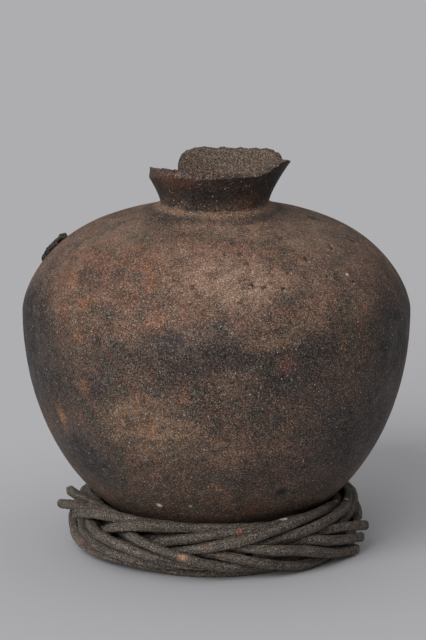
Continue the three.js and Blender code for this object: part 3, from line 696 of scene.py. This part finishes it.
def pitch_material():
    """A dull dark crust, mottled with brown and dotted with pale dust."""
    colours = bpy.context.scene.jar_colours
    material, tree, shader = new_material("hard_pitch")
    place = add_node(tree, "ShaderNodeTexCoord").outputs["Object"]
    blotchy = add_mottle(tree, place, 6, 0.2)
    colour = add_mix(tree, blotchy, colours.pitch, colours.brown_pitch)
    grain = use_group(tree, "grain", {"Vector": place, "Size": 0.9 * MM, "Color": colour, "Contrast": 0.7})
    grit = use_group(tree, "grit", {"Vector": place, "Size": GRIT_SIZE, "Share": 0.3})
    colour = add_coat(tree, grain["Color"], colours.tan, grit["Mask"], 0.4)
    connect(tree, shader, colour, add_range(tree, blotchy, 0.0, 1.0, 0.45, 0.75), blotchy, 0.5, 0.8)
    return material


LIME = screen(232, 228, 222)
SOIL = screen(132, 98, 76)

# Stains on the vines: colour, the place in millimetres, radius and strength
VINE_STAINS = (
    (screen(170, 106, 84), 20, -129.4, 44.5, 6, 0.5), (screen(190, 140, 104), -29.5, -141, 24.9, 5.5, 0.85),
    (screen(150, 116, 88), -9.7, -138.3, 30, 7, 0.45), (screen(140, 106, 82), 5.5, -136.1, 24.4, 6, 0.35),
    (SOIL, -122, -51.3, 14, 9, 0.45), (SOIL, -113, -68, 10, 8, 0.35),
    (LIME, 57.1, -105.4, 49.8, 4, 1), (LIME, 60.7, -104.4, 49.3, 3, 1),
    (LIME, 107.7, -42.7, 48.3, 3, 0.9), (LIME, 116.9, -42.3, 49.8, 2.5, 0.9),
)


def vine_material():
    """Dry bark that follows each vine: furrows along it, dark blotches, dust, stains and pale specks."""
    look = bpy.context.scene.vine_look
    material, tree, shader = new_material("dry_vine")
    place = add_node(tree, "ShaderNodeTexCoord").outputs["Object"]
    straight = add_attribute(tree, "strand", "Vector")
    long = add_node(tree, "ShaderNodeMapping", {"Vector": straight, "Scale": (1.0, 1.0, 0.06)}).outputs[0]
    furrows = add_mottle(tree, long, 2.2, 0.22)
    blotchy = add_mottle(tree, straight, 12, 0.2)
    dusty = add_mottle(tree, place, 35, 0.25)
    grainy = add_mottle(tree, straight, 1.6, 0.25, 1.0)
    colour = add_mix(tree, furrows, look.furrow, look.bark)
    colour = add_coat(tree, colour, look.furrow, blotchy, 0.45)
    colour = add_coat(tree, colour, look.dust, add_math(tree, "MULTIPLY", dusty, grainy), 0.6)
    _, swing = add_waves(tree, place, 90.0, 4.0)
    for stain, x, y, z, radius, strength in VINE_STAINS:
        reach = radius * MM
        inputs = {"Vector": place, "Swing": swing, "Centre": (x * MM, y * MM, z * MM),
                  "Reach": (reach, reach, reach), "Wander": 0.8 * reach}
        colour = add_coat(tree, colour, stain, use_group(tree, "zone", inputs)["Mask"], strength)
    grain = use_group(tree, "grain", {"Vector": place, "Size": GRAIN_SIZE, "Color": colour})
    grit = use_group(tree, "grit", {"Vector": place, "Size": 2.6 * MM, "Share": 0.1})
    colour = add_coat(tree, grain["Color"], look.speck, grit["Mask"], 0.6)
    relief = add_math(tree, "ADD", furrows, add_math(tree, "MULTIPLY_ADD", grain["Tone"], 0.5, grainy))
    connect(tree, shader, colour, add_range(tree, dusty, 0.0, 1.0, 0.7, 0.9), relief, 0.7, 0.7)
    return material


# Pieces


class JAR_OT_body(bpy.types.Operator):
    """Spin the jar's profile, break its rim and press in the marks of hand building"""

    bl_idname = "jar.body"
    bl_label = "Jar Body"

    def execute(self, context):
        sizes = context.scene.jar_sizes
        bm = bmesh.new()
        for layer in ("jar_face", "share", "pit", "chipped"):
            bm.verts.layers.float.new(layer)
        face_layer = bm.verts.layers.float["jar_face"]
        share_layer = bm.verts.layers.float["share"]
        rows = []
        for radius, height, face, share in jar_profile(sizes):
            vertex = bm.verts.new((radius, 0, height))
            vertex[face_layer] = face
            vertex[share_layer] = share
            rows.append(vertex)
        edges = [bm.edges.new(pair) for pair in zip(rows, rows[1:])]
        bmesh.ops.spin(bm, geom=rows + edges, cent=(0, 0, 0), axis=(0, 0, 1), angle=2 * math.pi,
                       steps=sizes.segments, use_merge=True, use_duplicate=False)
        bmesh.ops.remove_doubles(bm, verts=bm.verts, dist=0.01 * MM)
        self.break_rim(bm, sizes, face_layer, share_layer)
        bmesh.ops.recalc_face_normals(bm, faces=bm.faces)
        self.refine_pits(bm, sizes)
        self.press_marks(bm, sizes, face_layer)
        bm.verts.layers.float.remove(share_layer)
        finished("earthenware_jar", bm, "jar", clay_material(), ["jar_body"])
        return {"FINISHED"}

    def break_rim(self, bm, sizes, face_layer, share_layer):
        """Takes the neck's rows to the break and shifts the neck to its side."""
        base = neck_base(sizes)
        for vertex in bm.verts:
            face = round(vertex[face_layer])
            azimuth = math.degrees(math.atan2(vertex.co.y, vertex.co.x))
            if face in (NECK_OUTSIDE, BREAK, NECK_INSIDE):
                radius, height = shape_neck(sizes, azimuth, face, vertex[share_layer])
                angle = math.radians(azimuth)
                vertex.co = (radius * math.cos(angle), radius * math.sin(angle), height)
            vertex.co.x += sizes.neck_offset * smooth_step(vertex.co.z, base - NECK_SWEEP_REACH, base)

    def refine_pits(self, bm, sizes):
        """Makes the mesh finer round each pit, so that its edge is crisp."""
        reaches = [(centre, PIT_REACH * radius) for centre, radius, _ in pit_places(sizes)]
        near = [edge for edge in bm.edges
                if any((edge.verts[0].co - centre).length < reach for centre, reach in reaches)]
        bmesh.ops.subdivide_edges(bm, edges=near, cuts=2, use_grid_fill=True)

    def press_marks(self, bm, sizes, face_layer):
        """Pushes the outer face in along its normals, by the hand's hollows and the pits.

        Each pit is marked for the painted shade that the material puts in it. Just under each pit's middle
        a pale lip is marked, which the material shows pale: partly clay bared by the chip, partly a painted
        highlight.
        """
        bm.normal_update()
        pit_shade_layer = bm.verts.layers.float["pit"]
        chipped_layer = bm.verts.layers.float["chipped"]
        base = neck_base(sizes)
        pits = pit_places(sizes)
        moves = []
        for vertex in bm.verts:
            if vertex[face_layer] > NECK_OUTSIDE + 0.5:
                continue
            near_neck = smooth_step(vertex.co.z, base - 10 * MM, base + 4 * MM)
            push = hand_marks(sizes, vertex.co) * (1 - 0.7 * near_neck)
            for centre, radius, depth in pits:
                away = (vertex.co - centre).length / radius
                if away < PIT_LIMIT:
                    uneven = 1 + 0.8 * noise.noise(vertex.co * 330)
                    sunk = 1 - smooth_step(away * uneven, 0.45, 0.95)
                    push += depth * sunk
                    # The pit's share, which the material paints dark as shade
                    vertex[pit_shade_layer] = max(vertex[pit_shade_layer], sunk)
                    under = (vertex.co - centre + Vector((0, 0, 0.55 * radius))).length / radius
                    pale = 1 - smooth_step(under * uneven, 0.35, 0.75)
                    vertex[chipped_layer] = max(vertex[chipped_layer], pale)
            moves.append((vertex, vertex.normal * -push))
        for vertex, move in moves:
            vertex.co += move


PATCH_WAVES = ((110, 1), (290, 1.6), (600, 1.4))  # waves of roughness per metre, and their shares


class JAR_OT_patch(bpy.types.Operator):
    """Refine the hardened patch on the shoulder and roughen it"""

    bl_idname = "jar.patch"
    bl_label = "Shoulder Patch"

    def execute(self, context):
        bm = bmesh.new()
        bm.from_mesh(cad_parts["shoulder_patch"].data)
        bmesh.ops.remove_doubles(bm, verts=bm.verts, dist=MERGE)
        bmesh.ops.subdivide_edges(bm, edges=bm.edges, cuts=4, use_grid_fill=True)
        bm.normal_update()
        low = min(bm.verts, key=lambda vertex: vertex.co.z).co.copy()
        run = max(bm.verts, key=lambda vertex: vertex.co.z).co - low
        moves = []
        for vertex in bm.verts:
            along = (vertex.co - low).dot(run) / run.length_squared
            spur = smooth_step(along, 0.8, 0.97) * (1 - smooth_step(along, 0.97, 1))
            rough = sum(share * noise.noise(vertex.co * waves) for waves, share in PATCH_WAVES)
            hole = smooth_step(noise.noise(vertex.co * 230 + Vector((9, 4, 2))), 0.15, 0.35)
            sunk = 5 * (along - 0.5) ** 2 - 1.8 * spur + 0.5 * rough + 0.9 * hole
            moves.append((vertex, vertex.normal * -MM * sunk))
        for vertex, move in moves:
            vertex.co += move
        finished("pitch_patch", bm, "jar", pitch_material(), ["shoulder_patch"])
        return {"FINISHED"}


CAD_SIDES = 8  # corners of each ring of a vine in the CAD
INWARD = 0.25  # taken off the noise in the bark, so that most of it cuts in
GROUND_GAP = 0.05 * MM


def strand_centres(node):
    """The middles of a vine's rings of corners and their radii, from one end to the other."""
    bm = bmesh.new()
    bm.from_mesh(node.data)
    bmesh.ops.remove_doubles(bm, verts=bm.verts, dist=MERGE)
    bm.verts.index_update()
    ends = [vertex for vertex in bm.verts if len(vertex.link_edges) == CAD_SIDES]
    if len(ends) != 2:
        raise RuntimeError(f"{node.name} has {len(ends)} ends, not 2")
    start = min(ends, key=lambda vertex: tuple(vertex.co))
    centres = [start.co.copy()]
    radii = []
    seen = {start}
    ring = [start]
    while True:
        found = {edge.other_vert(vertex) for vertex in ring for edge in vertex.link_edges} - seen
        ring = sorted(found, key=lambda vertex: vertex.index)
        if len(ring) < CAD_SIDES:
            break
        seen.update(ring)
        middle = sum((vertex.co for vertex in ring), Vector()) / len(ring)
        centres.append(middle)
        radii.append(max((vertex.co - middle).length for vertex in ring))
    bm.free()
    return centres[1:], radii


def curve_point(points, at):
    """A point of the smooth curve through all the points, at a distance counted in points."""
    i = min(int(at), len(points) - 2)
    share = at - i
    before = points[max(0, i - 1)]
    after = points[min(len(points) - 1, i + 2)]
    first, second = points[i], points[i + 1]
    return 0.5 * (
        2 * first
        + (second - before) * share
        + (2 * before - 5 * first + 4 * second - after) * share**2
        + (3 * first - before - 3 * second + after) * share**3
    )


class JAR_OT_vines(bpy.types.Operator):
    """Grow each vine of the ring along the middle of its solid, with bark, lumps and cut ends"""

    bl_idname = "jar.vines"
    bl_label = "Ring Vines"

    def execute(self, context):
        look = context.scene.vine_look
        material = vine_material()
        for number, name in enumerate(VINE_NODES):
            seed = 10.0 * number  # takes each vine to its own stretch of the noise
            bm = self.strand(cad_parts[name], look, seed)
            finished(name.replace("vine", "strand"), bm, "ring_stand", material, [name])
        return {"FINISHED"}

    def strand(self, node, look, seed):
        """One vine, grown ring by ring from its first cut end to its last."""
        centres, radii = strand_centres(node)
        length = sum((b - a).length for a, b in zip(centres, centres[1:]))
        steps = round(length / look.step)
        bm = bmesh.new()
        layer = bm.verts.layers.float_vector.new("strand")
        ring = bmesh.ops.create_circle(bm, segments=look.sides, radius=1)["verts"]
        first = ring
        for step in range(steps + 1):
            at = (len(centres) - 1) * step / steps
            self.place_ring(ring, layer, centres, radii, at, length * step / steps, length, look, seed)
            if step < steps:
                grown = bmesh.ops.extrude_edge_only(bm, edges=self.ring_edges(bm, ring))
                ring = self.in_order([v for v in grown["geom"] if isinstance(v, bmesh.types.BMVert)], ring)
        for end in (first, ring):
            self.close_end(bm, end, layer)
        bmesh.ops.recalc_face_normals(bm, faces=bm.faces)
        return bm

    def ring_edges(self, bm, ring):
        return [bm.edges.get(pair) for pair in zip(ring, ring[1:] + ring[:1])]

    def in_order(self, grown, before):
        """The new ring's corners, each after the corner that it grew from."""
        return [next(edge.other_vert(old) for edge in old.link_edges if edge.other_vert(old) in grown)
                for old in before]

    def place_ring(self, ring, layer, centres, radii, at, along, length, look, seed):
        """Sets a ring's corners round the vine's middle, and gives each its place on the straight vine."""
        centre = curve_point(centres, at)
        ahead = curve_point(centres, min(len(centres) - 1, at + 0.05))
        behind = curve_point(centres, max(0, at - 0.05))
        run = (ahead - behind).normalized()
        side = run.cross(Vector((0, 0, 1))).normalized()
        over = side.cross(run)
        i = min(int(at), len(radii) - 2)
        room = radii[i] + (radii[i + 1] - radii[i]) * (at - i)
        swell = look.lump * noise.noise(Vector((seed, along * 28, 0)))
        knot = 0.35 * MM * max(0, noise.noise(Vector((seed, 5, along * 14))) - 0.25)
        turn = 2.5 * noise.noise(Vector((seed, 9, along * 3)))
        flat = 0.05 + 0.05 * noise.noise(Vector((seed, 13, along * 6)))
        to_end = min(along, length - along)
        taper = 1 - 0.04 * (1 - smooth_step(to_end, 0, 1.5 * MM))
        for k, vertex in enumerate(ring):
            angle = 2 * math.pi * k / len(ring)
            across, up = abs(math.cos(angle + turn)), abs(math.sin(angle + turn))
            square = 0.96 / (across**3 + up**3) ** (1 / 3)
            radius = (room + swell + knot) * taper * square * (1 - flat * up**2)
            round_point = Vector((math.cos(angle), math.sin(angle), 0)) * 5 * MM
            strand = round_point + Vector((0, 0, along + seed))
            furrow = noise.noise(Vector((strand.x * 360, strand.y * 360, strand.z * 20)))
            radius += look.ridge * (min(furrow, INWARD) - INWARD)
            bumps = look.lump * (noise.noise(strand * 110) - INWARD)
            bumps += 0.25 * MM * (noise.noise(strand * 330) - INWARD)
            radius += bumps
            vertex.co = centre + (over * math.cos(angle) + side * math.sin(angle)) * radius
            vertex.co.z = max(vertex.co.z, GROUND_GAP)
            vertex[layer] = strand

    def close_end(self, bm, ring, layer):
        """Fills a cut end with a square face that has a narrow crisp edge."""
        face = bmesh.ops.contextual_create(bm, geom=self.ring_edges(bm, ring))["faces"]
        for edge in self.ring_edges(bm, ring):
            edge.smooth = False
        bmesh.ops.inset_region(bm, faces=face, thickness=0.5 * MM, depth=0.0)
        for vertex in bmesh.ops.poke(bm, faces=face)["verts"]:
            vertex.co.z = max(vertex.co.z, GROUND_GAP)
            vertex[layer] = sum((v[layer] for v in ring), Vector()) / len(ring)


# Where each lamp stands from the jar, and how wide it looks from there in degrees
KEY_TOWARDS, KEY_WIDTH = (-0.78, -1.25, 0.84), 48
TOP_TOWARDS, TOP_WIDTH = (-0.1, 0.1, 1.0), 120


class JAR_OT_stage(bpy.types.Operator):
    """Lay the plain ground and set the camera and the soft lamps"""

    bl_idname = "jar.stage"
    bl_label = "Stage"

    def execute(self, context):
        look = context.scene.stage_look
        self.floor(context, look)
        self.camera(context, look)
        self.lamp(context, "key_lamp", KEY_TOWARDS, look.key, KEY_WIDTH)
        self.lamp(context, "top_lamp", TOP_TOWARDS, look.top, TOP_WIDTH)
        world = bpy.data.worlds.new("soft_room")
        world.use_nodes = True
        background = world.node_tree.nodes["Background"]
        background.inputs["Color"].default_value = (*look.floor, 1)
        background.inputs["Strength"].default_value = look.sky
        context.scene.world = world
        context.scene.view_settings.view_transform = "Standard"
        return {"FINISHED"}

    def floor(self, context, look):
        bm = bmesh.new()
        bmesh.ops.create_circle(bm, cap_ends=True, segments=64, radius=look.floor_reach)
        mesh = bpy.data.meshes.new("ground")
        bm.to_mesh(mesh)
        bm.free()
        material, _, shader = new_material("ground")
        shader.inputs["Base Color"].default_value = (*look.floor, 1)
        shader.inputs["Roughness"].default_value = 0.9
        mesh.materials.append(material)
        floor = bpy.data.objects.new("ground", mesh)
        context.scene.collection.objects.link(floor)

    def camera(self, context, look):
        data = bpy.data.cameras.new("view")
        data.lens = look.lens
        data.sensor_width = 36
        camera = bpy.data.objects.new("view", data)
        aim = Vector((look.aim_side, 0, look.aim_height))
        back = Vector((0, -math.cos(look.elevation), math.sin(look.elevation)))
        camera.location = aim + back * look.distance
        camera.rotation_euler = (-back).to_track_quat("-Z", "Y").to_euler()
        context.scene.collection.objects.link(camera)
        context.scene.camera = camera

    def lamp(self, context, name, towards, strength, width):
        """A distant lamp that stands in a direction from the jar and shines from there."""
        data = bpy.data.lights.new(name, "SUN")
        data.energy = strength
        data.angle = math.radians(width)
        lamp = bpy.data.objects.new(name, data)
        lamp.rotation_euler = Vector(towards).to_track_quat("Z", "Y").to_euler()
        context.scene.collection.objects.link(lamp)


class JAR_PT_panel(bpy.types.Panel):
    bl_idname = "JAR_PT_panel"
    bl_label = "Earthenware Jar"
    bl_space_type = "VIEW_3D"
    bl_region_type = "UI"
    bl_category = "Jar"

    def draw(self, context):
        for operator in OPERATORS:
            self.layout.operator(operator.bl_idname)
        for title, kind in GROUPS.items():
            box = self.layout.box()
            for name in kind.__annotations__:
                box.prop(getattr(context.scene, title), name)


GROUPS = {"jar_sizes": JarSizes, "jar_colours": JarColours, "vine_look": VineLook, "stage_look": StageLook}
OPERATORS = (JAR_OT_body, JAR_OT_patch, JAR_OT_vines, JAR_OT_stage)


def register():
    for group in (*GROUPS.values(), *OPERATORS, JAR_PT_panel):
        bpy.utils.register_class(group)
    for name, group in GROUPS.items():
        setattr(bpy.types.Scene, name, PointerProperty(type=group))


def unregister():
    for name in GROUPS:
        delattr(bpy.types.Scene, name)
    for group in reversed((*GROUPS.values(), *OPERATORS, JAR_PT_panel)):
        bpy.utils.unregister_class(group)


def main():
    register()
    build_mottle()
    build_grit()
    build_grain()
    build_zone()
    bpy.ops.jar.body()
    bpy.ops.jar.patch()
    bpy.ops.jar.vines()
    bpy.ops.jar.stage()


if __name__ == "__main__":
    main()
